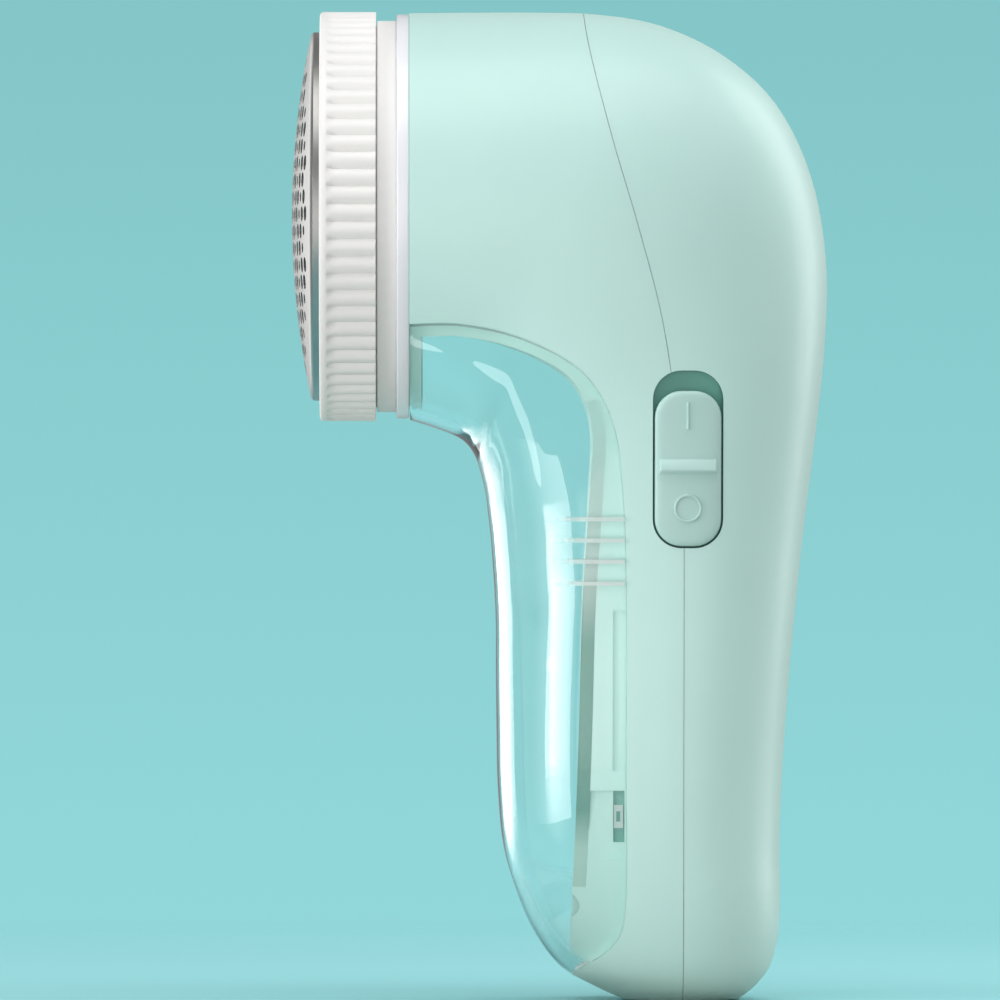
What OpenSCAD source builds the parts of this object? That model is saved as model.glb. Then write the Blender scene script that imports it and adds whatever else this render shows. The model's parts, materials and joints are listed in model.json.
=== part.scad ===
// Hand-held fabric shaver with a fluted foil ring, a clear lint bin and a slide switch.
// Frame: +Z up, standing on its base. The head points along -X, the switch faces -Y, and the
// origin is under the middle of the shaver's footprint. Head parts are drawn along the head
// axis, where h is the distance along -X from the origin plane.

/* [Body] */
// Thickness of the moulded housing wall
wall = 2.0; // [1.8:0.1:2.2]
// Thickness of the clear lint bin's wall
bin_wall = 1.6; // [1.4:0.1:1.7]
// Points round each cross section of the body
facets = 40; // [32:4:44]
// Steps between two stations along the body
steps = 2; // [1:1:2]
// Gap between two housing parts that meet
seam_gap = 0.16; // [0.1:0.02:0.2]

/* [Foil ring] */
// Outside diameter of the fluted ring
ring_d = 64.2; // [63.8:0.2:64.6]
// Number of grip flutes round the ring
flutes = 72; // [48:4:80]
// Depth of a flute
flute_depth = 0.6; // [0.4:0.1:0.8]

/* [Foil] */
// Distance between neighbouring holes
hole_pitch = 3.8; // [3.6:0.2:5]
// Diameter of a hole
hole_d = 2.1; // [1.5:0.1:2.4]

/* [Cutter] */
// Number of blades
blade_count = 3; // [2:1:4]
// Diameter swept by the blades
cutter_d = 53; // [48:1:54]

/* [Motor] */
// Diameter of the motor can
motor_d = 24.4; // [22:0.2:25]
// Length of the motor can
motor_l = 30.8; // [28:0.2:31]

/* [Battery] */
// Diameter of the cell
cell_d = 14.2; // [13.8:0.1:14.4]
// Length of the cell
cell_l = 50; // [46:1:51]

/* [Switch] */
// Travel of the button from off to on
travel = 3; // [2:0.5:3]
// Width of the button
button_w = 10.4; // [9.6:0.2:10.6]

/* [Hidden] */
$fn = 48;

mint = [0.70, 0.87, 0.81];
white = [0.94, 0.94, 0.92];
steel = [0.75, 0.75, 0.73];
copper = [0.72, 0.45, 0.25];
dark = [0.15, 0.15, 0.16];

// Heights and radii of the head, as distances h along the head axis
head_z = 122.7;
face_h = 23.6;
trim_l = 2.0;
collar_h = face_h + trim_l;
ring_h = 28.8;
ring_l = 8.8;
apex_h = 42;
ring_r = ring_d / 2;
trim_r = 31.7;
neck_r = 30.7;
spigot_r = 29.9;
spigot_h = 33.3;
cup_r = 27.6;
plug_r = 28.3;
plug_wall = 1.8;
bulkhead_h = 18;
bulkhead_t = 2;
run = 0.1;

// The foil is a pressed cap: flange, skirt and a shallow dome
foil_t = 0.4;
foil_r = 28.9;
foil_flange_h = 33.5;
foil_flange_t = 0.5;
shoulder_h = 38.9;
dome_rise = apex_h - shoulder_h;
dome_r = (pow(foil_r, 2) + pow(dome_rise, 2)) / (2 * dome_rise);
holed_r = 24.4;

// Cutter and shaft
shaft_r = 1;
arm_h = 33.4;
arm_t = 2;
blade_t = 0.6;
blade_gap = 0.15;
hub_h = 29.5;
hub_top = 36.5;
float_l = 0.8;
shaft_tip = hub_top - float_l - 0.2;

// Lint bin, and the step in the housing that it sits on
rebate = bin_wall + 0.15;
rebate_wall = 1.6;
catch_rise = 0.55;
hoop_play = 0.35;
rib_z = [75.2, 71.9, 68.6, 65.2];

// Housing screws: [y, z]
screw_seats = [[13.2, 16], [14, 60]];
screw_head_x = 10.6;
cup_screw_r = 23.5;
cup_screw_angles = [0, 110, -110];
motor_screw_r = 8;

// Switch, in the side wall at -Y
slot_x = 19.7;
slot_z = [70.7, 98.3];
slot_w = button_w + 0.6;
button_l = slot_z[1] - slot_z[0] - travel - 0.3;
corner_r = 4.2;

// Boards, battery and charging port
cell_x = 20.5;
cell_y = 1;
cell_z = 14;
board_y = -11.6;
board_t = 1.6;
port_x = 19.1;
port_size = [8.94, 3.26, 7.35];
port_z = 0.6;

// Body stations: outer point [x, z], inner point [x, z], half width, squareness
stations = [
    [-23.6, 154.6, -23.6, 90.8, 31.9, 2.0],
    [-14.0, 154.7, -18.6, 89.2, 31.9, 2.0],
    [-4.0, 154.7, -15.2, 87.6, 31.8, 2.0],
    [6.0, 154.4, -13.3, 85.2, 31.5, 2.0],
    [16.0, 152.6, -12.3, 82.2, 31.0, 2.05],
    [25.8, 147.9, -11.6, 79.1, 30.1, 2.1],
    [34.0, 140.3, -11.2, 75.9, 28.9, 2.15],
    [39.4, 129.2, -10.8, 72.3, 27.4, 2.2],
    [41.8, 116.2, -10.5, 68.3, 26.0, 2.25],
    [41.6, 102.4, -10.2, 63.8, 24.8, 2.3],
    [40.1, 88.0, -10.0, 58.4, 23.8, 2.3],
    [38.1, 72.0, -10.0, 51.3, 22.9, 2.35],
    [36.3, 54.0, -9.9, 42.6, 22.2, 2.4],
    [35.0, 37.0, -9.7, 33.4, 21.6, 2.4],
    [34.5, 24.0, -8.8, 24.0, 21.0, 2.4],
    [34.6, 16.0, -6.4, 16.0, 20.3, 2.4],
    [34.3, 10.0, -3.7, 10.0, 19.3, 2.35],
    [33.0, 5.0, 0.2, 5.0, 17.6, 2.3],
    [30.6, 1.9, 5.6, 1.9, 14.6, 2.2],
    [28.2, 0, 9.8, 0, 11.0, 2.1]
];
foot_z = 20;
inner_facets = 28;
curve_steps = 3;
post_sides = 16;

// Side-view curves, from the head down to the base
seam_line = [[3.5, 160], [4.2, 150], [7.8, 134.7], [11.9, 120.6], [15.6, 106.4], [17.8, 92],
             [18.9, 80], [19.1, 70], [19.1, 30], [19.1, -5]];
bin_edge = [[-23.45, 105.4], [-15.5, 105.4], [-6, 103.2], [3.2, 98.1], [7.9, 90.4], [9.5, 80],
            [10.1, 64], [10.1, 36], [10.1, 16], [8.4, 9.2], [2.2, 4.5]];
front_wall = [[-60, 103.9], [-23.6, 103.9], [-15.5, 103.9], [-6.5, 101.8], [1.4, 97.3],
              [4.7, 90.4], [4.6, 80], [3.5, 62], [3.0, 44], [2.4, 26], [2.0, 14], [2.4, 4],
              [3, -20]];

// Smooth curve through points, for points of any dimension
function smooth(a, b, c, d, t) = 0.5 * (2 * b + (c - a) * t + (2 * a - 5 * b + 4 * c - d) * t * t
    + (3 * b - a - 3 * c + d) * t * t * t);
function spline(p, n) = [
    for (i = [0 : len(p) - 2]) for (k = [0 : n - 1])
        smooth(p[max(i - 1, 0)], p[i], p[i + 1], p[min(i + 2, len(p) - 1)], k / n),
    p[len(p) - 1]
];

// Superellipse power that keeps the sign
function bulge(v, n) = sign(v) * pow(abs(v), 2 / n);

// One cross section, moved inwards by inset. Near the base the sections also rise, so that the
// floor keeps its thickness.
function lift(z, inset) = z < foot_z ? z + inset * (1 - z / foot_z) : z;
function section(s, inset, shift, n) = let (
    o = [s[0] + shift, 0, lift(s[1], inset)],
    i = [s[2] + shift, 0, lift(s[3], inset)],
    along = (o - i) / norm(o - i),
    a = norm(o - i) / 2 - inset,
    w = s[4] - inset
) [for (k = [0 : n - 1]) let (f = 360 * k / n)
    (o + i) / 2 + along * a * bulge(cos(f), s[5]) + [0, w * bulge(sin(f), s[5]), 0]];

// Closed solid through a list of rings that all have the same number of points
module loft(rings) {
    n = len(rings[0]);
    m = len(rings);
    side = [for (j = [0 : m - 2]) for (k = [0 : n - 1]) let (l = (k + 1) % n)
        each [[j * n + k, j * n + l, (j + 1) * n + l], [j * n + k, (j + 1) * n + l, (j + 1) * n + k]]];
    first = [for (k = [1 : n - 2]) [0, k + 1, k]];
    last = [for (k = [1 : n - 2]) [(m - 1) * n, (m - 1) * n + k, (m - 1) * n + k + 1]];
    polyhedron([for (r = rings) each r], concat(side, first, last), convexity = 6);
}

// The whole body, shrunk by inset. A shrunk body runs on past the open head end, and is drawn
// more coarsely, because it only shapes the inside.
module body(inset = 0) {
    outside = inset < 0.1;
    n = outside ? facets : inner_facets;
    path = spline(stations, outside ? steps : 1);
    rings = [for (s = path) section(s, inset, 0, n)];
    loft(inset == 0 ? rings : concat([section(path[0], inset, -3, n)], rings));
}

// A round bar along a path, with the path's own curvature
function turn(p, i) = let (q = p[min(i + 1, len(p) - 1)] - p[max(i - 1, 0)]) q / norm(q);
module bar(path, r, up, sides = 8) {
    loft([for (i = [0 : len(path) - 1]) let (
        t = turn(path, i),
        u = cross(t, up) / norm(cross(t, up)),
        v = cross(u, t)
    ) [for (k = [0 : sides - 1]) path[i] + r * (cos(360 * k / sides) * u + sin(360 * k / sides) * v)]]);
}

// Keeps a smooth moulding as one surface mesh
module moulding() { resize([0, 0, 0]) children(); }

// A side-view outline, spread across the whole body
module across() { rotate([90, 0, 0]) linear_extrude(90, center = true) children(); }

// Draws children along the head axis: local z is h, local x is up
module on_head() { translate([0, 0, head_z]) rotate([0, -90, 0]) children(); }

module tube(r, bore, l) {
    difference() {
        cylinder(r = r, h = l);
        translate([0, 0, -1]) cylinder(r = bore, h = l + 2);
    }
}

module rounded(w, l, r) { offset(r = r) square([w - 2 * r, l - 2 * r], center = true); }

// Round-ended block along x, with its ends as true cylinders
module stadium(l, w, h) {
    for (s = [-1, 1]) translate([s * (l - w) / 2, 0, 0]) cylinder(d = w, h = h);
    translate([-(l - w) / 2, -w / 2, 0]) cube([l - w, w, h]);
}

// Pan-head screw: the head stands on z = 0 and the shank goes down
module screw(shank_r, shank_l, head_r, head_h) {
    difference() {
        union() {
            cylinder(r = head_r, h = head_h);
            translate([0, 0, -shank_l]) cylinder(r = shank_r, h = shank_l + 0.1);
            translate([0, 0, -shank_l - shank_r]) cylinder(r1 = 0.2, r2 = shank_r, h = shank_r);
        }
        for (a = [0, 90]) rotate([0, 0, a])
            translate([-head_r * 0.6, -head_r * 0.12, head_h * 0.4])
                cube([head_r * 1.2, head_r * 0.24, head_h]);
    }
}

// Side-view zones ---------------------------------------------------------------------------

module bin_zone() {
    polygon(concat(spline(bin_edge, curve_steps), [[-2, -1], [-23.45, -1]]));
}

module front_zone() {
    polygon(concat(spline([for (p = seam_line) p - [seam_gap / 2, 0]], curve_steps),
                   [[-23.6, -5], [-23.6, 160]]));
}

module rear_zone() {
    polygon(concat(spline([for (p = seam_line) p + [seam_gap / 2, 0]], curve_steps), [[60, -5], [60, 160]]));
}

// Everything behind and above the wall that the lint bin closes against
module inner_zone() {
    polygon(concat(spline(front_wall, curve_steps), [[80, -20], [80, 200], [-60, 200]]));
}

// Openings that cross the seam
module switch_slot() {
    translate([slot_x, -5, (slot_z[0] + slot_z[1]) / 2]) rotate([90, 0, 0])
        linear_extrude(30) rounded(slot_w, slot_z[1] - slot_z[0], corner_r + 0.3, $fn = 20);
}

module port_slot() {
    translate([port_x, 0, -1]) stadium(port_size[0] + 0.6, port_size[1] + 0.6, 5);
}

// Housing ------------------------------------------------------------------------------------

// Posts that the housing screws pass through, along +X
module posts(x0, x1, r) {
    for (p = screw_seats) for (s = [-1, 1])
        translate([x0, s * p[0], p[1]]) rotate([0, 90, 0]) cylinder(r = r, h = x1 - x0, $fn = post_sides);
}

module cup_posts(r, h0, h1) {
    on_head() for (a = cup_screw_angles) rotate([0, 0, a])
        translate([cup_screw_r, 0, h0]) cylinder(r = r, h = h1 - h0, $fn = post_sides);
}

// The hoop behind the trim ring
module hoop_zone() { translate([-60, 60]) square([60 - 21.6, 50]); }

// Where the wall beside the bin needs its full depth, and where a plain wall is enough
module thick_zone() {
    offset(delta = -wall) inner_zone();
    hoop_zone();
}
module thin_zone() {
    difference() {
        offset(delta = -wall - 0.3) inner_zone();
        offset(delta = 2.4) bin_zone();
    }
}

module front_housing() {
    color(mint) moulding() difference() {
        intersection() { body(); across() front_zone(); }
        // the space inside, less the posts for the screws
        difference() {
            union() {
                intersection() { body(rebate + rebate_wall); across() thick_zone(); }
                intersection() { body(wall); across() thin_zone(); }
            }
            posts(3.6, 19.1 - seam_gap / 2, 3.4);
            cup_posts(3.2, 6, bulkhead_h - run);
            on_head() for (a = cup_screw_angles) rotate([0, 0, a])
                translate([cup_screw_r, -0.8, 6]) cube([12, 1.6, bulkhead_h - run - 6]);
        }
        // the step that the bin slides over, and the lint space
        difference() {
            across() offset(delta = seam_gap) bin_zone();
            intersection() { body(rebate); across() inner_zone(); }
            intersection() { body(rebate + hoop_play); across() hoop_zone(); }
        }
        posts(10, 20, 1.5);
        posts(0, screw_head_x, 2.8);
        cup_posts(1.3, 7, bulkhead_h + 1);
        switch_slot();
        port_slot();
        // shallow tracks that the bin's catches run in, and the windows they rest in
        difference() {
            for (s = [-1, 1]) translate([-1, s * 21.4, 27.75]) cube([21.8, 6, 10.5], center = true);
            body(rebate + catch_rise + 0.1);
        }
        for (s = [-1, 1]) translate([9.05, s * 19.5, 29]) cube([1.7, 6, 8], center = true);
    }
}

module rear_housing() {
    color(mint) moulding() difference() {
        intersection() { body(); across() rear_zone(); }
        // the space inside, less the screw posts and the ribs that hold the cell
        difference() {
            body(wall);
            posts(19.1 + seam_gap / 2, 45, 3.2);
            difference() {
                for (z = [22, 40, 58]) translate([port_x + 1, -30, z]) cube([30, 60, 1.6]);
                translate([cell_x, cell_y, 0]) cylinder(d = cell_d + 0.6, h = 80);
            }
        }
        posts(10, 29.5, 1.15);
        switch_slot();
        port_slot();
    }
}

module lint_bin() {
    color([0.85, 0.95, 0.95, 0.4]) moulding() {
        difference() {
            union() {
                intersection() { body(); across() bin_zone(); }
                // grip ribs on both sides
                intersection() {
                    body(-0.45);
                    across() for (z = rib_z) translate([-1.5, z - 0.4]) square([11.4, 0.8]);
                }
            }
            body(bin_wall);
        }
        // catches that hold the bin shut
        difference() {
            intersection() {
                body(bin_wall - 0.2);
                for (s = [-1, 1]) translate([8.95, s * 19.5, 29]) cube([1.5, 5, 3.6], center = true);
            }
            body(bin_wall + catch_rise);
        }
    }
}

// Head ---------------------------------------------------------------------------------------

module trim_ring() {
    color([0.96, 0.96, 0.99]) on_head() translate([0, 0, face_h]) tube(trim_r, plug_r + 0.1, trim_l);
}

module cutter_cup() {
    color(white) on_head() difference() {
        union() {
            translate([0, 0, bulkhead_h]) cylinder(r = plug_r, h = collar_h - bulkhead_h);
            translate([0, 0, collar_h]) cylinder(r = neck_r, h = ring_h - 0.2 - collar_h);
            translate([0, 0, collar_h]) cylinder(r = spigot_r, h = spigot_h - collar_h);
        }
        translate([0, 0, bulkhead_h + bulkhead_t])
            cylinder(r = plug_r - plug_wall, h = collar_h - bulkhead_h);
        translate([0, 0, collar_h]) cylinder(r = cup_r, h = 20);
        // window that lets the lint fall into the bin
        translate([-40, -40, bulkhead_h - 1]) cube([40 - 16.4, 80, face_h - bulkhead_h + 1.1]);
        translate([0, 0, bulkhead_h - 1]) cylinder(r = 3.3, h = 5);
        for (a = cup_screw_angles) rotate([0, 0, a])
            translate([cup_screw_r, 0, bulkhead_h - 1]) cylinder(r = 1.6, h = 5);
        for (s = [-1, 1]) translate([0, s * motor_screw_r, bulkhead_h - 1]) cylinder(r = 1.5, h = 5);
    }
}

module foil_ring() {
    groove_r = 1.2;
    color(white) on_head() difference() {
        union() {
            translate([0, 0, ring_h]) cylinder(r = ring_r, h = ring_l - 0.4);
            translate([0, 0, ring_h + ring_l - 0.4]) cylinder(r1 = ring_r, r2 = ring_r - 0.4, h = 0.4);
        }
        translate([0, 0, ring_h - 1]) cylinder(r = spigot_r + 0.2, h = foil_flange_h + 0.6 - ring_h + 1);
        translate([0, 0, ring_h - 1]) cylinder(r = foil_r + 0.2, h = ring_l + 2);
        for (k = [0 : flutes - 1]) rotate([0, 0, 360 * (k + 0.5) / flutes])
            translate([ring_r - flute_depth + groove_r, 0, ring_h + 0.4])
                cylinder(r = groove_r, h = ring_l - 1.6, $fn = 16);
    }
}

module dome(extra) {
    translate([0, 0, apex_h - dome_r]) sphere(r = dome_r + extra, $fn = 120);
}

// Staggered grid of hole centres inside the perforated circle
holes = [for (j = [-8 : 8]) for (i = [-8 : 8])
    let (p = [hole_pitch * (i + (j % 2 == 0 ? 0 : 0.5)), hole_pitch * j * sqrt(3) / 2])
    if (norm(p) < holed_r) p];

module foil() {
    color(steel) on_head() difference() {
        union() {
            translate([0, 0, foil_flange_h]) tube(spigot_r, foil_r - 0.2, foil_flange_t);
            translate([0, 0, foil_flange_h]) tube(foil_r, foil_r - foil_t, shoulder_h - foil_flange_h - 0.2);
            intersection() {
                difference() { dome(0); dome(-foil_t); }
                translate([0, 0, shoulder_h - 2]) cylinder(r = foil_r, h = 10);
            }
        }
        for (p = holes) translate([p[0], p[1], shoulder_h - 1]) cylinder(d = hole_d, h = 6, $fn = 16);
    }
}

// Cutter -------------------------------------------------------------------------------------

module blade_hub() {
    color(dark) on_head() difference() {
        union() {
            translate([0, 0, hub_h]) cylinder(r = 5, h = hub_top - hub_h);
            for (k = [0 : blade_count - 1]) rotate([0, 0, 360 * k / blade_count])
                translate([0, -3.4, arm_h]) cube([cutter_d / 2 - 0.8, 6.8, arm_t]);
        }
        translate([0, 0, hub_h - 1]) cylinder(r = shaft_r + 0.05, h = 20);
    }
}

module blades() {
    color(steel) on_head() intersection() {
        for (k = [0 : blade_count - 1]) rotate([0, 0, 360 * k / blade_count])
            translate([6, -blade_t / 2, arm_h + arm_t]) cube([cutter_d / 2 - 6, blade_t, 8]);
        dome(-foil_t - blade_gap);
    }
}

module hub_cap() {
    color(dark) on_head() {
        translate([0, 0, hub_top]) cylinder(r = 4.6, h = 1.2);
        translate([0, 0, hub_top + 1.2]) cylinder(r1 = 4.6, r2 = 3.4, h = 0.8);
    }
}

module hub_spring() {
    turns = 5;
    per_turn = 14;
    coil_r = 2.3;
    length = hub_h - float_l - 0.2 - 23.7;
    color(steel) on_head() bar([for (i = [0 : turns * per_turn]) let (a = 360 * i / per_turn)
        [coil_r * cos(a), coil_r * sin(a), 23.7 + length * i / (turns * per_turn)]], 0.22, [0, 0, 1], 6);
}

module drive_collar() {
    color([0.8, 0.68, 0.4]) on_head() translate([0, 0, 20.8]) tube(2.9, shaft_r + 0.02, 2.6);
}

// Motor --------------------------------------------------------------------------------------

motor_front = bulkhead_h - 0.05;
motor_rear = motor_front - motor_l;

module motor_shaft() {
    color(steel) on_head() translate([0, 0, motor_rear - 0.6])
        cylinder(r = shaft_r, h = shaft_tip - motor_rear + 0.6);
}

module motor_can() {
    color([0.72, 0.72, 0.74]) on_head() difference() {
        union() {
            translate([0, 0, motor_rear]) cylinder(d = motor_d, h = motor_l);
            translate([0, 0, motor_front]) cylinder(r = 3.1, h = 1.4);
        }
        translate([0, 0, motor_rear - 1]) cylinder(d = motor_d - 2, h = motor_l);
        cylinder(r = 2.5, h = 40);
        for (s = [-1, 1]) translate([0, s * motor_screw_r, 10]) cylinder(r = 1.3, h = 10);
    }
}

module motor_end_cap() {
    color(dark) on_head() difference() {
        union() {
            translate([0, 0, motor_rear]) cylinder(d = motor_d - 2.1, h = 2.2);
            translate([0, 0, motor_rear - 1.2]) cylinder(r = 4.2, h = 1.3);
        }
        translate([0, 0, motor_rear - 5]) cylinder(r = 2.5, h = 10);
        for (s = [-1, 1]) translate([-1.3, s * 7 - 0.35, motor_rear - 1]) cube([2.6, 0.7, 4]);
    }
}

module motor_bushes() {
    color([0.75, 0.6, 0.35]) on_head() {
        translate([0, 0, motor_front - 1.2]) tube(2.45, shaft_r + 0.03, 2.5);
        translate([0, 0, motor_rear - 1.1]) tube(2.45, shaft_r + 0.03, 3);
    }
}

module motor_magnets() {
    color([0.3, 0.3, 0.32]) on_head() intersection() {
        translate([0, 0, motor_rear + 7]) tube(motor_d / 2 - 1.05, motor_d / 2 - 2.6, 19);
        for (s = [-1, 1]) translate([s * 10 - 5, -8, -20]) cube([10, 16, 40]);
    }
}

module motor_armature() {
    color([0.5, 0.35, 0.25]) on_head() difference() {
        translate([0, 0, motor_rear + 8]) cylinder(r = motor_d / 2 - 3, h = 16);
        translate([0, 0, motor_rear]) cylinder(r = shaft_r + 0.01, h = 40);
        // slots between the three poles
        for (a = [60 : 120 : 300]) rotate([0, 0, a])
            translate([3.4, -0.9, motor_rear]) cube([10, 1.8, 40]);
    }
}

module motor_commutator() {
    color(copper) on_head() translate([0, 0, motor_rear + 3.2]) tube(2.8, shaft_r + 0.01, 4.2);
}

module motor_terminals() {
    color([0.85, 0.75, 0.5]) on_head() for (s = [-1, 1])
        translate([-1.2, s * 7 - 0.25, motor_rear - 4.2]) cube([2.4, 0.5, 6.6]);
}

// Screws -------------------------------------------------------------------------------------

module motor_screws() {
    color(steel) on_head() for (s = [-1, 1])
        translate([0, s * motor_screw_r, bulkhead_h + bulkhead_t]) screw(1.2, 3.4, 2.3, 1.3);
}

module cup_screws() {
    color(steel) on_head() for (a = cup_screw_angles) rotate([0, 0, a])
        translate([cup_screw_r, 0, bulkhead_h + bulkhead_t]) screw(1.25, 9, 2.4, 1.5);
}

module housing_screws() {
    color(steel) for (p = screw_seats) for (s = [-1, 1])
        translate([screw_head_x, s * p[0], p[1]]) rotate([0, -90, 0]) screw(1.1, 16, 2.5, 1.6);
}

// Switch -------------------------------------------------------------------------------------

button_z = slot_z[0] + 0.3 + button_l / 2;

module button_outline(grow) {
    translate([slot_x, 0, button_z]) rotate([90, 0, 0])
        linear_extrude(40) rounded(button_w + 2 * grow, button_l + 2 * grow, corner_r, $fn = 20);
}

module switch_button() {
    color(mint) moulding() {
        difference() {
            union() {
                // the part under the thumb follows the side of the housing
                intersection() { body(-0.35); button_outline(0); }
                // the raised bar across the middle
                intersection() {
                    body(-1);
                    translate([slot_x - 4.4, -40, 82.4]) cube([8.8, 30, 2]);
                }
                // the skirt that closes the slot
                intersection() { body(wall + 0.5); button_outline(1.7); }
            }
            body(wall + 1.6);
        }
        // the fork that drives the lever
        for (s = [-1, 1]) translate([slot_x - 2, -21, button_z + s * 2.4 - 0.6]) cube([4, 4.2, 1.2]);
    }
}

module switch_lever() {
    color(dark) translate([slot_x - 1.5, -20.2, button_z - 1.6]) cube([3, 4.4, 3.2]);
}

module switch_body() {
    color(steel) translate([slot_x - 3.5, board_y - 5, button_z + travel / 2 - 8]) difference() {
        cube([7, 5, 16]);
        translate([1.5, -1, 8 - 1.9 - travel / 2]) cube([4, 2, 3.8 + travel]);
    }
}

// Electronics --------------------------------------------------------------------------------

module main_board() {
    color([0.1, 0.4, 0.25]) translate([9, board_y, 66]) cube([22, board_t, 38]);
}

module board_parts() {
    color(dark) {
        translate([12, board_y + board_t, 90]) cube([5, 1.4, 5]);
        translate([22, board_y + board_t, 88]) cube([5, 1.9, 4]);
        translate([24, board_y + board_t, 96]) cube([3, 1, 1.6]);
        translate([11, board_y + board_t, 98]) cube([2, 0.7, 1.2]);
        translate([15, board_y + board_t, 98]) cube([2, 0.7, 1.2]);
    }
}

module charge_board() {
    color([0.1, 0.4, 0.25]) translate([11, port_size[1] / 2, 2.6]) cube([16, 1, 9.8]);
}

module charge_port() {
    color(steel) translate([port_x, 0, port_z]) difference() {
        stadium(port_size[0], port_size[1], port_size[2]);
        translate([0, 0, -1]) stadium(port_size[0] - 0.6, port_size[1] - 0.6, port_size[2] + 0.6);
    }
}

module charge_port_tongue() {
    color(dark) translate([port_x - 3.3, -0.35, port_z + 1]) cube([6.6, 0.7, port_size[2] - 1.45]);
}

module charge_led() {
    color([0.9, 0.95, 0.9]) translate([12, port_size[1] / 2 - 0.8, 4]) cube([1, 0.8, 1.6]);
}

module battery_cell() {
    color([0.2, 0.45, 0.7]) translate([cell_x, cell_y, cell_z]) {
        cylinder(d = cell_d, h = cell_l - 1);
        translate([0, 0, cell_l - 1.05]) cylinder(d = cell_d * 0.4, h = 1.05);
    }
}

module battery_tabs() {
    color([0.8, 0.8, 0.78]) {
        translate([cell_x - 2, cell_y - 5, cell_z - 0.2]) cube([4, 10, 0.2]);
        translate([cell_x - 2, cell_y - 8, cell_z + cell_l]) cube([4, 10, 0.2]);
    }
}

module battery_foam() {
    color([0.25, 0.25, 0.27]) difference() {
        translate([6.2, cell_y - 5, 26]) cube([9, 10, 26]);
        translate([cell_x, cell_y, 20]) cylinder(d = cell_d + 0.1, h = 40);
    }
}

// Wires, each a round bar through a few points
module wire(points) { bar(spline(points, 4), 0.65, [0.3, 0.2, 1]); }

module motor_wires() {
    color([0.75, 0.1, 0.1]) for (s = [-1, 1])
        wire([[-motor_rear + 4.9, s * 7, head_z - 0.3], [-motor_rear + 8, s * 6 - 1, head_z - 4],
              [22 + s * 2, s * 3 - 4, head_z - 12], [20 + s * 3, board_y + board_t + 2.6, 102]]);
}

module battery_wires() {
    color([0.75, 0.1, 0.1]) {
        wire([[cell_x, cell_y - 4.6, cell_z + cell_l + 1], [cell_x - 1, cell_y - 7, 68],
              [cell_x - 3, board_y + board_t + 1.4, 72]]);
        wire([[cell_x, cell_y + 3.6, cell_z - 1.2], [19.6, 9.4, 12.6], [17.4, 8.9, 18], [17.4, 8.9, 36],
              [17.4, 8.9, 56], [17.4, 8.9, 64.5], [18.5, 3, 68.5], [24.5, board_y + board_t + 1.4, 74]]);
    }
}

module charge_wires() {
    color(dark) for (s = [0, 1])
        wire([[14 + s * 2.2, port_size[1] / 2 + 1.8, 10], [13.4 + s, 8 - s * 0.2, 13 + s * 2],
              [8.6 + s * 1.8, 8.8, 30], [8.6 + s * 1.8, 8.4, 54],
              [10 + s * 2.2, board_y + board_t + 1.2, 70]]);
}

front_housing();
rear_housing();
lint_bin();
trim_ring();
cutter_cup();
foil_ring();
foil();
blade_hub();
blades();
hub_cap();
hub_spring();
drive_collar();
motor_shaft();
motor_can();
motor_end_cap();
motor_magnets();
motor_armature();
motor_commutator();
motor_bushes();
motor_terminals();
motor_screws();
cup_screws();
housing_screws();
switch_button();
switch_lever();
switch_body();
main_board();
board_parts();
charge_board();
charge_port();
charge_port_tongue();
charge_led();
battery_cell();
battery_tabs();
battery_foam();
motor_wires();
battery_wires();
charge_wires();
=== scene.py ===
"""Fabric shaver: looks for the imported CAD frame.

The frame is in metres, standing on Z = 0, with the head along -X and the switch facing -Y.
Shapes below are worked out in millimetres and scaled once, when a mesh is made.
"""
import json
import math

import bmesh
import bpy
import numpy as np
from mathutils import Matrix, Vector
from mathutils.bvhtree import BVHTree
from mathutils.geometry import delaunay_2d_cdt
from mathutils.interpolate import poly_3d_calc

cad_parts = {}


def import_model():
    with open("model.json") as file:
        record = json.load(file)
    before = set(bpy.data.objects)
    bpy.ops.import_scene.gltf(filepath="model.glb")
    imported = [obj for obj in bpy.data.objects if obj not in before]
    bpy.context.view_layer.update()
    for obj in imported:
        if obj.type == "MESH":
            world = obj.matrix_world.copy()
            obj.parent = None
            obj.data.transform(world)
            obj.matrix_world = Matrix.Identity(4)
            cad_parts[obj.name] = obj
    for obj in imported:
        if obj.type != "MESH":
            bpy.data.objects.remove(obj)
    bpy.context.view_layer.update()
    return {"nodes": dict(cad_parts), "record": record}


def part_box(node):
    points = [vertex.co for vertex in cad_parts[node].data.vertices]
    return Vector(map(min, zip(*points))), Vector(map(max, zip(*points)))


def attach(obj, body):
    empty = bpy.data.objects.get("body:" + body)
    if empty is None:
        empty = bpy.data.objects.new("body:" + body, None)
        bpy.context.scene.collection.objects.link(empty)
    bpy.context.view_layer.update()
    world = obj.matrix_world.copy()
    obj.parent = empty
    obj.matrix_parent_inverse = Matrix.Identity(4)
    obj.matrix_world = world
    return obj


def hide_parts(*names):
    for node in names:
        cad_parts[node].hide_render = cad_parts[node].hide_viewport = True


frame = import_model()
MM = 0.001


def box_mm(node):
    lo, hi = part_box(node)
    return np.array(lo) / MM, np.array(hi) / MM


# --- Sizes, in millimetres ------------------------------------------------------------------

WALL = 2.0
BIN_WALL = 1.6
REBATE = BIN_WALL + 0.15
REBATE_WALL = 1.6
SEAM_GAP = 0.07
BIN_GAP = 0.09
HOOP_PLAY = 0.35

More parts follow.
